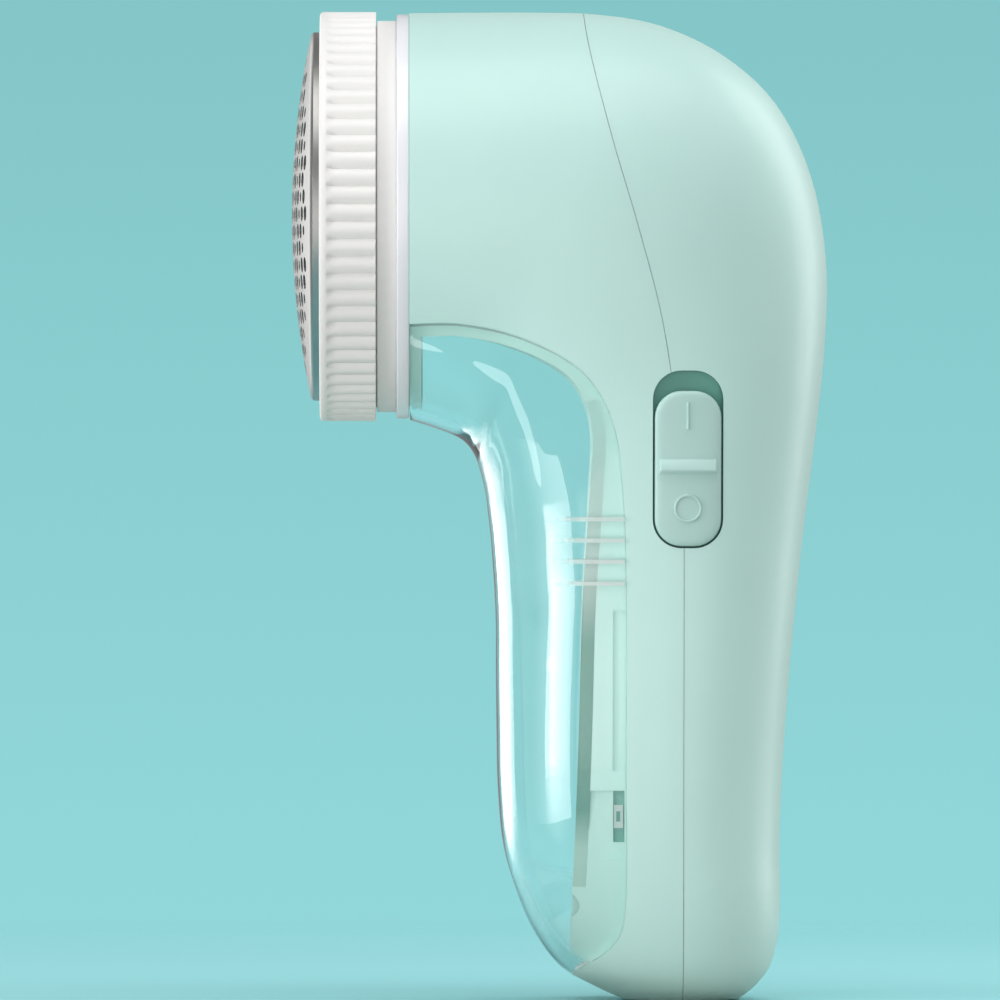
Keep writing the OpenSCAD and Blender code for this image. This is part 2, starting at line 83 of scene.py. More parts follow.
ring_lo, ring_hi = box_mm("foil_ring")
HEAD_Z = (ring_lo[2] + ring_hi[2]) / 2
RING_R = (ring_hi[2] - ring_lo[2]) / 2
RING_FRONT, RING_BACK = -ring_lo[0], -ring_hi[0]
trim_lo, trim_hi = box_mm("trim_ring")
TRIM_R = (trim_hi[2] - trim_lo[2]) / 2
TRIM_FRONT, TRIM_BACK = -trim_lo[0], -trim_hi[0]
foil_lo, foil_hi = box_mm("foil")
APEX, FOIL_FLANGE = -foil_lo[0], -foil_hi[0]

# Body stations: outer point [x, z], inner point [x, z], half width, squareness
STATIONS = np.array([
    [-23.6, 154.6, -23.6, 90.8, 31.9, 2.0],
    [-14.0, 154.7, -18.6, 89.2, 31.9, 2.0],
    [-4.0, 154.7, -15.2, 87.6, 31.8, 2.0],
    [6.0, 154.4, -13.3, 85.2, 31.5, 2.0],
    [16.0, 152.6, -12.3, 82.2, 31.0, 2.05],
    [25.8, 147.9, -11.6, 79.1, 30.1, 2.1],
    [34.0, 140.3, -11.2, 75.9, 28.9, 2.15],
    [39.4, 129.2, -10.8, 72.3, 27.4, 2.2],
    [41.8, 116.2, -10.5, 68.3, 26.0, 2.25],
    [41.6, 102.4, -10.2, 63.8, 24.8, 2.3],
    [40.1, 88.0, -10.0, 58.4, 23.8, 2.3],
    [38.1, 72.0, -10.0, 51.3, 22.9, 2.35],
    [36.3, 54.0, -9.9, 42.6, 22.2, 2.4],
    [35.0, 37.0, -9.7, 33.4, 21.6, 2.4],
    [34.5, 24.0, -8.8, 24.0, 21.0, 2.4],
    [34.6, 16.0, -6.4, 16.0, 20.3, 2.4],
    [34.3, 10.0, -3.7, 10.0, 19.3, 2.35],
    [33.0, 5.0, 0.2, 5.0, 17.6, 2.3],
    [30.6, 1.9, 5.6, 1.9, 14.6, 2.2],
    [28.2, 0, 9.8, 0, 11.0, 2.1],
])
FOOT_Z = 20.0
FRONT_END, BIN_END = -23.6, -23.45               # x of the body and the bin at the head

# Side-view curves [x, z], from the head down to the base
SEAM = np.array([[3.5, 160], [4.2, 150], [7.8, 134.7], [11.9, 120.6], [15.6, 106.4], [17.8, 92],
                 [18.9, 80], [19.1, 70], [19.1, 30], [19.1, -5]])
BIN_EDGE = np.array([[-23.45, 105.4], [-15.5, 105.4], [-6, 103.2], [3.2, 98.1], [7.9, 90.4],
                     [9.5, 80], [10.1, 64], [10.1, 36], [10.1, 16], [8.4, 9.2], [2.2, 4.5]])
FRONT_WALL = np.array([[-60, 103.9], [-23.6, 103.9], [-15.5, 103.9], [-6.5, 101.8], [1.4, 97.3],
                       [4.7, 90.4], [4.6, 80], [3.5, 62], [3.0, 44], [2.4, 26], [2.0, 14],
                       [2.4, 4], [3, -20]])
HOOP_X = -21.6

SLOT_X, SLOT_LOW, SLOT_HIGH = 19.7, 70.7, 98.3
BUTTON_W, BUTTON_L, CORNER = 10.4, 24.15, 4.2
BUTTON_GAP = 0.3                             # round the button when it is down
BUTTON_RISE = 0.38                           # of its face above the body
RIDGE_Z, MARK_ON_Z, MARK_OFF_Z = 83.4, 91.2, 76.9
MARK_R, MARK_W = 2.0, 0.42
SKIRT_LOW, SKIRT_HIGH = 66.6, 100.4

RIB_Z = (75.2, 71.9, 68.6, 65.2)
RIB_X, RIB_HALF, RIB_RISE = (-1.2, 9.85), 0.32, 0.45
CATCH_Y, CATCH_HALF, CATCH_RISE = 19.5, 2.4, 0.55
CATCH_LO, CATCH_HI = (8.3, 27.2), (9.7, 30.8)        # [x, z]
EYE_LO, EYE_HI = (8.65, 28.2), (9.25, 29.8)          # the hole in a catch, [x, z]
TRACK_Y = 21.4
WINDOW_LO, WINDOW_HI = (8.2, 25.0), (9.9, 33.0)      # [x, z]
SCREW_SEATS = ((13.2, 16.0), (14.0, 60.0))           # [y, z] on each side
SCREW_HEAD_X = 10.6
POST_R, HEAD_BORE, SHANK_BORE = 3.4, 2.8, 1.5
# width and heights of the strip of painted shade along the front wall
SHADE_STRIP_W, SHADE_STRIP_Z = 2.05, (18.0, 94.0)
PORT_X, PORT_CUT = 19.1, (9.54, 3.86, 1.92)          # across, deep, corner radius


# --- Mesh helpers ---------------------------------------------------------------------------

def spline(points, steps):
    """Smooth curve through points; works for rows of any length."""
    p = np.asarray(points, float)
    p = np.vstack([p[:1], p, p[-1:]])
    out = []
    for a, b, c, d in zip(p, p[1:], p[2:], p[3:]):
        for t in np.arange(steps) / steps:
            out.append(0.5 * (2 * b + (c - a) * t + (2 * a - 5 * b + 4 * c - d) * t**2
                              + (3 * b - a - 3 * c + d) * t**3))
    out.append(p[-2])
    return np.array(out)


def offset_curve(curve, distance):
    """Moves a curve sideways, towards the left of its direction for a positive distance."""
    step = np.gradient(curve, axis=0)
    step /= np.linalg.norm(step, axis=1)[:, None]
    return curve + distance * np.stack([-step[:, 1], step[:, 0]], axis=1)


def new_object(name, verts_mm, faces):
    mesh = bpy.data.meshes.new(name)
    mesh.from_pydata((np.asarray(verts_mm, float) * MM).tolist(), [], [list(f) for f in faces])
    bm = bmesh.new()
    bm.from_mesh(mesh)
    bmesh.ops.remove_doubles(bm, verts=bm.verts, dist=1e-7)
    bmesh.ops.recalc_face_normals(bm, faces=bm.faces)
    bm.to_mesh(mesh)
    bm.free()
    mesh.validate()
    obj = bpy.data.objects.new(name, mesh)
    bpy.context.scene.collection.objects.link(obj)
    return obj


def bake(obj):
    """Applies the modifiers of obj."""
    graph = bpy.context.evaluated_depsgraph_get()
    mesh = bpy.data.meshes.new_from_object(obj.evaluated_get(graph))
    obj.modifiers.clear()
    obj.data = mesh
    return obj


def combine(obj, other, operation):
    """Boolean of two objects. The other one is used up."""
    cut = obj.modifiers.new("cut", "BOOLEAN")
    cut.operation = operation
    cut.solver = "EXACT"
    cut.object = other
    bpy.context.view_layer.update()
    bake(obj)
    bpy.data.objects.remove(other)
    return obj


def minus(obj, *others):
    for other in others:
        combine(obj, other, "DIFFERENCE")
    return obj


def common(obj, other):
    return combine(obj, other, "INTERSECT")


def union(obj, *others):
    for other in others:
        combine(obj, other, "UNION")
    return obj


def ladder_faces(count, rings):
    """Quads between neighbouring closed rings of count points each."""
    return [(j * count + k, j * count + (k + 1) % count,
             (j + 1) * count + (k + 1) % count, (j + 1) * count + k)
            for j in range(rings - 1) for k in range(count)]


def close_cracks(obj):
    """Splits an open edge wherever a corner of its neighbour lies on it, and welds the two."""
    bm = bmesh.new()
    bm.from_mesh(obj.data)
    while True:
        edges = [e for e in bm.edges if e.is_boundary]
        corners = list(dict.fromkeys(v for e in edges for v in e.verts))
        hit = None
        for edge in edges:
            start, way = edge.verts[0], edge.verts[1].co - edge.verts[0].co
            for corner in corners:
                share = (corner.co - start.co).dot(way) / way.length_squared
                near = (start.co + way * share - corner.co).length < 1e-7
                if near and corner not in edge.verts and 0 < share < 1:
                    hit = edge, start, share
        if hit is None:
            break
        _, added = bmesh.utils.edge_split(*hit)
        bmesh.ops.remove_doubles(bm, verts=corners + [added], dist=1e-7)
    bm.to_mesh(obj.data)
    bm.free()


def loft(name, rings, closed_ends=True):
    n, m = len(rings[0]), len(rings)
    faces = ladder_faces(n, m)
    if closed_ends:
        faces += [tuple(range(n)), tuple((m - 1) * n + k for k in range(n))]
    return new_object(name, np.vstack(rings), faces)


def prism(name, outline, y0=-45.0, y1=45.0):
    """A side-view outline [x, z], spread from y0 to y1."""
    rings = [np.array([[x, y, z] for x, z in outline]) for y in (y0, y1)]
    return loft(name, rings)


def block(name, lo, hi):
    return prism(name, [(lo[0], lo[2]), (hi[0], lo[2]), (hi[0], hi[2]), (lo[0], hi[2])], lo[1], hi[1])


def rod(name, start, direction, radius, length, sides=32):
    """A cylinder of known ends, used as a cutter."""
    d = np.array(direction, float)
    side = np.cross(d, [0.3, 0.5, 0.81])
    side /= np.linalg.norm(side)
    up = np.cross(d, side)
    turn = np.linspace(0, 2 * np.pi, sides, endpoint=False)
    circle = radius * (np.outer(np.cos(turn), side) + np.outer(np.sin(turn), up))
    start = np.array(start, float)
    return loft(name, [start + circle, start + d * length + circle])


# --- The body surface -----------------------------------------------------------------------

def section(station, inset, count, shift=0.0):
    """One superellipse cross section of the body, moved inwards by inset."""
    def rise(z):
        return z + inset * (1 - z / FOOT_Z) if z < FOOT_Z else z
    outer = np.array([station[0] + shift, 0, rise(station[1])])
    inner = np.array([station[2] + shift, 0, rise(station[3])])
    along = outer - inner
    length = np.linalg.norm(along)
    along /= length
    turn = np.linspace(0, 2 * np.pi, count, endpoint=False)
    c, s = np.cos(turn), np.sin(turn)
    power = 2 / station[5]
    c, s = np.sign(c) * np.abs(c)**power, np.sign(s) * np.abs(s)**power
    return ((outer + inner) / 2 + np.outer(c * (length / 2 - inset), along)
            + np.outer(s * (station[4] - inset), [0, 1, 0]))


def body(inset=0.0, count=112, steps=5):
    """The whole body, shrunk by inset. A shrunk body runs on past the open head end."""
    path = spline(STATIONS, steps)
    rings = [section(s, inset, count) for s in path]
    if inset:
        rings.insert(0, section(path[0], inset, count, shift=-3.0))
    return loft("body", rings)


class Surface:
    """The smooth body surface at one inset, for normals and for laying details on it."""

    def __init__(self, inset, count=224, steps=8):
        source = body(inset, count, steps)
        mesh = source.data
        self.co = [v.co.copy() for v in mesh.vertices]
        self.normals = [v.normal.copy() for v in mesh.vertices]
        self.polys = [tuple(p.vertices) for p in mesh.polygons]
        self.tree = BVHTree.FromPolygons(self.co, self.polys)
        bpy.data.objects.remove(source)

    def normal_near(self, point, reach):
        spot, _, index, _ = self.tree.find_nearest(point, reach)
        if spot is None or len(self.polys[index]) > 4:
            return None
        corners = self.polys[index]
        weights = poly_3d_calc([self.co[i] for i in corners], spot)
        return sum((self.normals[i] * w for i, w in zip(corners, weights)), Vector()).normalized()

    def depth(self, x, z):
        """y of the switch side of the body at x, z, in millimetres."""
        spot, _, _, _ = self.tree.ray_cast(Vector((x * MM, -0.2, z * MM)), Vector((0, 1, 0)))
        return spot.y / MM


def smooth_like(obj, surfaces, angle=25.0):
    """Gives faces that lie on one of the surfaces that surface's own normals."""
    mesh = obj.data
    mesh.polygons.foreach_set("use_smooth", [True] * len(mesh.polygons))
    limit = math.cos(math.radians(angle))
    cache = {}
    normals = []
    for poly in mesh.polygons:
        for index in poly.vertices:
            if index not in cache:
                co = mesh.vertices[index].co
                found = [s.normal_near(co, 0.06 * MM) for s in surfaces]
                cache[index] = [f for f in found if f is not None]
            best = poly.normal
            for normal in cache[index]:
                side = normal if normal.dot(poly.normal) > 0 else -normal
                if side.dot(poly.normal) > limit:
                    best = side
                    break
            normals.append(best)
    mesh.normals_split_custom_set(normals)
    return obj


SKIN = Surface(0.0)


# --- Materials ------------------------------------------------------------------------------

class Shader:
    """A node material with a Principled surface, and helpers for procedural detail."""

    def __init__(self, name):
        self.material = bpy.data.materials.new(name)
        self.material.use_nodes = True
        self.tree = self.material.node_tree
        self.bsdf = self.tree.nodes["Principled BSDF"]
        self.output = self.tree.nodes["Material Output"]
        self.coords = self.tree.nodes.new("ShaderNodeTexCoord").outputs["Object"]

    def node(self, kind, **values):
        made = self.tree.nodes.new(kind)
        for key, value in values.items():
            if key in made.inputs:
                made.inputs[key].default_value = value
            else:
                setattr(made, key, value)
        return made

    def link(self, source, target):
        self.tree.links.new(source, target)

    def noise(self, scale, detail=4.0, stretch=(1, 1, 1)):
        mapping = self.node("ShaderNodeMapping")
        mapping.inputs["Scale"].default_value = stretch
        self.link(self.coords, mapping.inputs["Vector"])
        texture = self.node("ShaderNodeTexNoise", Scale=scale, Detail=detail)
        self.link(mapping.outputs["Vector"], texture.inputs["Vector"])
        return texture.outputs["Fac"]

    def spread(self, source, low, high):
        """Maps the middle of a 0 to 1 texture to low..high."""
        spread = self.node("ShaderNodeMapRange")
        for key, value in (("From Min", 0.3), ("From Max", 0.7), ("To Min", low), ("To Max", high)):
            spread.inputs[key].default_value = value
        self.link(source, spread.inputs["Value"])
        return spread.outputs["Result"]

    def tint(self, source, first, second):
        mix = self.node("ShaderNodeMix", data_type="RGBA")
        self.link(source, mix.inputs[0])
        mix.inputs[6].default_value = (*first, 1)
        mix.inputs[7].default_value = (*second, 1)
        self.link(mix.outputs[2], self.bsdf.inputs["Base Color"])

    def ramp(self, stops):
        """Colours at heights in metres, below 0.1. Returns the socket that takes the height."""
        scale = self.node("ShaderNodeMath", operation="MULTIPLY")
        scale.inputs[1].default_value = 10.0
        made = self.node("ShaderNodeValToRGB")
        elements = made.color_ramp.elements
        elements.remove(elements[0])
        for place, _ in stops[1:]:
            elements.new(place * 10.0)
        elements[0].position = stops[0][0] * 10.0
        ordered = sorted(elements, key=lambda e: e.position)
        for element, (place, color) in zip(ordered, stops):
            element.position = place * 10.0
            element.color = (*color, 1)
        self.link(scale.outputs["Value"], made.inputs["Fac"])
        self.link(made.outputs["Color"], self.bsdf.inputs["Base Color"])
        return scale.inputs[0]

    def bump(self, source, strength, distance):
        made = self.node("ShaderNodeBump", Strength=strength, Distance=distance)
        self.link(source, made.inputs["Height"])
        self.link(made.outputs["Normal"], self.bsdf.inputs["Normal"])


def shade(name, color, rough, metal=0.0, grain=2500.0, bump=0.05, vary=0.03, stretch=(1, 1, 1),
          coat=0.0, sss=0.0):
    """A moulded or machined finish: fine grain in the bump, slow change in colour and gloss."""
    s = Shader(name)
    slow = s.spread(s.noise(60.0, 3.0), 0.0, 1.0)
    s.tint(slow, [max(c * (1 - vary), 0) for c in color], [min(c * (1 + vary), 1) for c in color])
    gloss = s.spread(s.noise(grain * 0.3, 3.0, stretch), rough * 0.9, rough * 1.12)
    s.link(gloss, s.bsdf.inputs["Roughness"])
    s.bsdf.inputs["Metallic"].default_value = metal
    s.bsdf.inputs["Coat Weight"].default_value = coat
    s.bsdf.inputs["Coat Roughness"].default_value = 0.15
    if sss:
        s.bsdf.inputs["Subsurface Weight"].default_value = sss
        s.bsdf.inputs["Subsurface Radius"].default_value = (0.004, 0.005, 0.0045)
        s.bsdf.inputs["Subsurface Scale"].default_value = 0.4
    s.bump(s.noise(grain, 2.0, stretch), bump, 0.00005)
    return s.material


def clear_plastic():
    """Polished clear polycarbonate with very faint waviness, which lets light into the bin."""
    s = Shader("clear_plastic")
    s.bsdf.inputs["Base Color"].default_value = (0.985, 1.0, 0.995, 1)
    s.bsdf.inputs["Transmission Weight"].default_value = 1.0
    s.bsdf.inputs["IOR"].default_value = 1.5
    s.link(s.spread(s.noise(180.0), 0.015, 0.035), s.bsdf.inputs["Roughness"])
    s.bump(s.noise(45.0, 2.0), 0.04, 0.0004)
    path = s.node("ShaderNodeLightPath")
    through = s.node("ShaderNodeBsdfTransparent")
    through.inputs["Color"].default_value = (0.95, 0.97, 0.96, 1)
    mix = s.node("ShaderNodeMixShader")
    either = s.node("ShaderNodeMath", operation="MAXIMUM")
    s.link(path.outputs["Is Shadow Ray"], either.inputs[0])
    s.link(path.outputs["Is Diffuse Ray"], either.inputs[1])
    s.link(either.outputs["Value"], mix.inputs["Fac"])
    s.link(s.bsdf.outputs["BSDF"], mix.inputs[1])
    s.link(through.outputs["BSDF"], mix.inputs[2])
    s.link(mix.outputs["Shader"], s.output.inputs["Surface"])
    return s.material


MINT = (0.545, 0.80, 0.745)


def painted_shade_ramp():
    """Painted shade: dark green over the middle of the strip, where the front wall lies in shadow, and
    painted light paling it towards its lower end and up to the mint at its top.
    """
    s = Shader("painted_shade_green")
    height = s.node("ShaderNodeSeparateXYZ")
    s.link(s.coords, height.inputs[0])
    # painted shade: dark green from 30 to 56 mm up, paled by painted light below and above
    s.link(height.outputs["Z"], s.ramp([(0.024, (0.45, 0.66, 0.60)), (0.030, (0.13, 0.32, 0.26)),
                                        (0.056, (0.13, 0.32, 0.26)), (0.066, (0.46, 0.58, 0.54)),
                                        (0.080, (0.52, 0.70, 0.65)), (0.090, MINT)]))
    s.link(s.spread(s.noise(900.0), 0.5, 0.7), s.bsdf.inputs["Roughness"])
    s.bump(s.noise(2500.0), 0.15, 0.00005)
    return s.material


def frosted(name, color=(0.93, 0.98, 0.96), front=0.05, back=0.85):
    """Textured clear plastic: milky, and thinning out towards the front."""
    s = Shader(name)
    s.bsdf.inputs["Base Color"].default_value = (*color, 1)
    s.bsdf.inputs["Transmission Weight"].default_value = 0.45
    s.link(s.spread(s.noise(700.0), 0.3, 0.45), s.bsdf.inputs["Roughness"])
    s.bump(s.noise(2500.0), 0.2, 0.00005)
    place = s.node("ShaderNodeSeparateXYZ")
    s.link(s.coords, place.inputs[0])
    fade = s.node("ShaderNodeMapRange", interpolation_type="SMOOTHSTEP")
    for key, value in (("From Min", -0.001), ("From Max", 0.006), ("To Min", front), ("To Max", back)):
        fade.inputs[key].default_value = value
    s.link(place.outputs["X"], fade.inputs["Value"])
    s.link(fade.outputs["Result"], s.bsdf.inputs["Alpha"])
    return s.material


MATERIALS = {
    "mint_plastic": shade("mint_plastic", MINT, 0.42, grain=3500, bump=0.10, vary=0.012,
                          coat=0.08, sss=0.15),
    "clear_plastic": clear_plastic(),
    "white_plastic": shade("white_plastic", (0.88, 0.87, 0.85), 0.45, grain=3000, bump=0.08,
                           vary=0.012, sss=0.12),
    "trim_plastic": shade("trim_plastic", (0.87, 0.88, 0.92), 0.22, grain=2500, bump=0.04,
                          vary=0.008, coat=0.3),
    "foil_steel": shade("foil_steel", (0.36, 0.355, 0.34), 0.34, 1.0, 5000, 0.12, 0.05, (1, 1, 6)),
    "blade_steel": shade("blade_steel", (0.68, 0.68, 0.68), 0.2, 1.0, 4000, 0.10, 0.04, (1, 8, 1)),
    "steel": shade("steel", (0.55, 0.55, 0.56), 0.3, 1.0, 3000, 0.08, 0.05),
    "black_plastic": shade("black_plastic", (0.03, 0.03, 0.033), 0.5, grain=3000, bump=0.12),
    "motor_steel": shade("motor_steel", (0.55, 0.56, 0.58), 0.33, 1.0, 2500, 0.08, 0.05),
    "magnet": shade("magnet", (0.06, 0.06, 0.065), 0.65, grain=2000, bump=0.2),
    "copper": shade("copper", (0.62, 0.28, 0.14), 0.35, 1.0, 1800, 0.3, 0.08, (1, 1, 8)),
    "brass": shade("brass", (0.70, 0.55, 0.26), 0.3, 1.0, 3000, 0.08, 0.05),
    "board_green": shade("board_green", (0.03, 0.18, 0.10), 0.35, grain=1500, bump=0.1, coat=0.4),
    "chip_black": shade("chip_black", (0.025, 0.025, 0.025), 0.55, grain=3500, bump=0.15),
    "cell_wrap": shade("cell_wrap", (0.06, 0.20, 0.42), 0.25, grain=600, bump=0.12, coat=0.3),
    "foam": shade("foam", (0.05, 0.05, 0.055), 0.95, grain=1800, bump=0.8, vary=0.2),
    "wire_red": shade("wire_red", (0.48, 0.03, 0.025), 0.4, grain=2000, bump=0.1),
    "wire_black": shade("wire_black", (0.03, 0.03, 0.03), 0.4, grain=2000, bump=0.1),
    "painted_shade_green": painted_shade_ramp(),
    "frosted": frosted("frosted"),
    # pale milky edge colour: painted light where light shows through the bin's rim
    "edge_painted_light": frosted("edge_painted_light", (0.78, 0.94, 0.90), 0.9, 0.9),
    # darker mint: painted shade for the floors of the switch slot and the catch pockets
    "mint_painted_shade": shade("mint_painted_shade", (0.20, 0.45, 0.38), 0.5, grain=3000, bump=0.1),
    "led_lens": shade("led_lens", (0.85, 0.9, 0.85), 0.2, grain=2000, bump=0.05, sss=0.3),
    "port_shell": shade("port_shell", (0.75, 0.75, 0.77), 0.18, 1.0, 3000, 0.06, 0.03),
}


def finish(obj, slot, body_name, *replaced, look=None):
    """Paints a piece, sets it riding on its CAD body and hides the CAD nodes it replaces."""
    obj.data.materials.clear()
    obj.data.materials.append(MATERIALS[look or slot])
    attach(obj, body_name)
    if replaced:
        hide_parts(*replaced)
    return obj


# --- Housings and bin -----------------------------------------------------------------------

CURVE_STEPS = 8
seam = spline(SEAM, CURVE_STEPS)
bin_edge = spline(BIN_EDGE, CURVE_STEPS)
front_wall = spline(FRONT_WALL, CURVE_STEPS)


def front_zone():
    line = seam - [SEAM_GAP / 2, 0]
    return prism("zone", np.vstack([line, [[FRONT_END, -5], [FRONT_END, 160]]]))


def rear_zone():
    line = seam + [SEAM_GAP / 2, 0]
    return prism("zone", np.vstack([line, [[60, -5], [60, 160]]]))


def bin_zone(grow=0.0):
    line = offset_curve(bin_edge, grow)
    left = BIN_END if not grow else -30.0
    line = np.vstack([[[left, line[0][1]]], line]) if grow else line
    return prism("zone", np.vstack([line, [[-2, -1], [left, -1]]]))


def inner_zone(shrink=0.0):
    """Behind and above the wall that the bin closes against."""
    line = offset_curve(front_wall, shrink)
    return prism("zone", np.vstack([line, [[80, -20], [80, 200], [-60, 200]]]))


def hoop():
    return prism("hoop", [(-60, 60), (HOOP_X, 60), (HOOP_X, 110), (-60, 110)])


def channel(curve, near, far, low, high):
    """A strip beside a side-view curve, between two distances from it and two heights."""
    part = curve[(curve[:, 1] > low) & (curve[:, 1] < high)]
    strip = np.vstack([offset_curve(part, near), offset_curve(part, far)[::-1]])
    return prism("channel", strip)


def posts(x0, x1, radius):
    return [rod("post", (x0, s * y, z), (1, 0, 0), radius, x1 - x0)
            for y, z in SCREW_SEATS for s in (-1, 1)]


def rounded_outline(cx, cz, width, length, radius, arc=8):
    """Rounded rectangle in side view [x, z], anticlockwise."""
    out = []
    for a0, sx, sz in ((0, 1, 1), (90, -1, 1), (180, -1, -1), (270, 1, -1)):
        for a in np.radians(np.linspace(a0, a0 + 90, arc + 1)):
            out.append((cx + sx * (width / 2 - radius) + radius * math.cos(a),
                        cz + sz * (length / 2 - radius) + radius * math.sin(a)))
    return np.array(out)


def switch_slot():
    outline = rounded_outline(SLOT_X, (SLOT_LOW + SLOT_HIGH) / 2, BUTTON_W + 0.6,
                              SLOT_HIGH - SLOT_LOW, CORNER + BUTTON_GAP, arc=10)
    return prism("slot", outline, -40, -5)


def port_slot():
    outline = rounded_outline(PORT_X, 0, *PORT_CUT)
    return loft("port", [np.array([[x, y, z] for x, y in outline]) for z in (-1, 4)])


def catch_window(s, inset=0.0):
    """The opening that the catch on side s stands in."""
    return block("window", (WINDOW_LO[0] + inset, s * CATCH_Y - 3, WINDOW_LO[1] + inset),
                 (WINDOW_HI[0] - inset, s * CATCH_Y + 3, WINDOW_HI[1] - inset))


def front_housing():
    shell = common(body(), front_zone())
    cavity = common(body(REBATE + REBATE_WALL), inner_zone(WALL))
    minus(shell, cavity)
    minus(shell, common(body(REBATE + REBATE_WALL), hoop()))
    thin = common(body(WALL), inner_zone(WALL + 0.3))
    minus(thin, bin_zone(2.4))
    minus(shell, thin)
    step = bin_zone(BIN_GAP)
    minus(step, common(body(REBATE), inner_zone()), common(body(REBATE + HOOP_PLAY), hoop()))
    minus(shell, step)
    union(shell, *posts(6.0, 19.0, POST_R))
    minus(shell, *posts(-2, SCREW_HEAD_X, HEAD_BORE), *posts(8, 20, SHANK_BORE))
    minus(shell, switch_slot(), port_slot())
    for s in (-1, 1):
        track = block("track", (-12, s * TRACK_Y - 3, 22.5), (WINDOW_HI[0], s * TRACK_Y + 3, 33))
        minus(shell, minus(track, body(REBATE + CATCH_RISE + 0.1)))
        minus(shell, catch_window(s))
    # channels in the step: one for the strip of painted shade, one along the outer edge of the bin
    minus(shell, minus(channel(front_wall, -0.5, SHADE_STRIP_W, *SHADE_STRIP_Z), body(REBATE + 0.9)))
    minus(shell, minus(channel(bin_edge, -2.0, 0.1, 33.5, 62), body(REBATE + 0.45)))
    close_cracks(shell)
    shell.name = "front_housing_skin"
    smooth_like(shell, [SKIN, Surface(REBATE), Surface(REBATE + HOOP_PLAY),
                        Surface(REBATE + REBATE_WALL)])
    finish(shell, "mint_plastic", "housing", "front_housing")


def bin_seal():
    """The strip on each side of the front wall, on the step the bin closes against, coloured with
    painted shade.
    """
    low, high = SHADE_STRIP_Z
    strip = common(channel(front_wall, 0.03, SHADE_STRIP_W + 0.06, low + 0.05, high - 0.05),
                   body(REBATE + 0.06))
    minus(strip, body(REBATE + 0.86))
    strip.name = "bin_seal"
    smooth_like(strip, [Surface(REBATE + 0.06)])
    # its colour is painted shade where the front wall lies in shadow
    finish(strip, "mint_plastic", "housing", look="painted_shade_green")


def rear_housing():
    shell = common(body(), rear_zone())
    minus(shell, body(WALL))
    minus(shell, switch_slot(), port_slot())
    shell.name = "rear_housing_skin"
    smooth_like(shell, [SKIN, Surface(WALL)])
    finish(shell, "mint_plastic", "housing", "rear_housing")


def lint_bin():
    """The clear bin with its edge faces painted pale as painted light, its grip ribs, its catches and
    what they drop into.
    """
    shell = common(body(), bin_zone())
    minus(shell, body(BIN_WALL))
    shell.name = "lint_bin_shell"
    smooth_like(shell, [SKIN, Surface(BIN_WALL)])
    finish(shell, "clear_plastic", "bin", "lint_bin")
    # the edge faces get the pale colour: painted light along the rim
    shell.data.materials.append(MATERIALS["edge_painted_light"])
    for face in shell.data.polygons:
        if abs(face.normal.y) < 0.001:
            face.material_index = 1
    for number, z in enumerate(RIB_Z, 1):
        bar = block("rib", (RIB_X[0], -45, z - RIB_HALF), (RIB_X[1], 45, z + RIB_HALF))
        rib = common(body(-RIB_RISE), bar)
        minus(rib, body(0.02))
        rib.name = f"bin_rib_{number}"
        finish(smooth_like(rib, [Surface(-RIB_RISE)]), "clear_plastic", "bin", look="frosted")
    for side, s in (("switch", -1), ("far", 1)):
        catch = block("catch", (CATCH_LO[0], s * CATCH_Y - CATCH_HALF, CATCH_LO[1]),
                      (CATCH_HI[0], s * CATCH_Y + CATCH_HALF, CATCH_HI[1]))
        minus(common(catch, body(BIN_WALL + 0.02)), body(BIN_WALL + CATCH_RISE))
        minus(catch, block("eye", (EYE_LO[0], -45, EYE_LO[1]), (EYE_HI[0], 45, EYE_HI[1])))
        catch.name = f"bin_catch_{side}"
        finish(catch, "clear_plastic", "bin", look="frosted")
        # the backing plate is painted darker mint: painted shade at the floor of the pocket
        backing = common(catch_window(s, 0.02), body(REBATE + 1.0))
        minus(backing, body(REBATE + 1.3))
        backing.name = f"catch_window_{side}"
        finish(backing, "mint_plastic", "housing", look="mint_painted_shade")


# --- Head -----------------------------------------------------------------------------------

def lathe(name, profile, segments=256, shape=None):
    """Turns a closed profile of [h, r] round the head axis; shape may bend r per angle."""
    turn = np.linspace(0, 2 * np.pi, segments, endpoint=False)
    rings = []
    for h, r in profile:
        radius = np.full(segments, float(r)) if shape is None else shape(h, r, turn)
        rings.append(np.stack([np.full(segments, -h), radius * np.sin(turn),
                               HEAD_Z + radius * np.cos(turn)], axis=1))
    n, m = segments, len(rings)
    faces = [(j * n + k, j * n + (k + 1) % n, ((j + 1) % m) * n + (k + 1) % n, ((j + 1) % m) * n + k)
             for j in range(m) for k in range(n)]
    return new_object(name, np.vstack(rings), faces)


def softened(profile, radius=0.25, parts=3):
    """Rounds every corner of a closed profile."""
    p = np.asarray(profile, float)
    out = []
    for before, corner, after in zip(np.roll(p, 1, axis=0), p, np.roll(p, -1, axis=0)):
        a, b = before - corner, after - corner
        reach = min(radius, np.linalg.norm(a) * 0.45, np.linalg.norm(b) * 0.45)
        a, b = corner + a / np.linalg.norm(a) * reach, corner + b / np.linalg.norm(b) * reach
        for t in np.linspace(0, 1, parts + 1):
            out.append((1 - t)**2 * a + 2 * t * (1 - t) * corner + t**2 * b)
    return np.array(out)


def shade_smooth(obj, angle=35.0):
    mesh = obj.data
    mesh.polygons.foreach_set("use_smooth", [True] * len(mesh.polygons))
    mesh.set_sharp_from_angle(angle=math.radians(angle))
    return obj


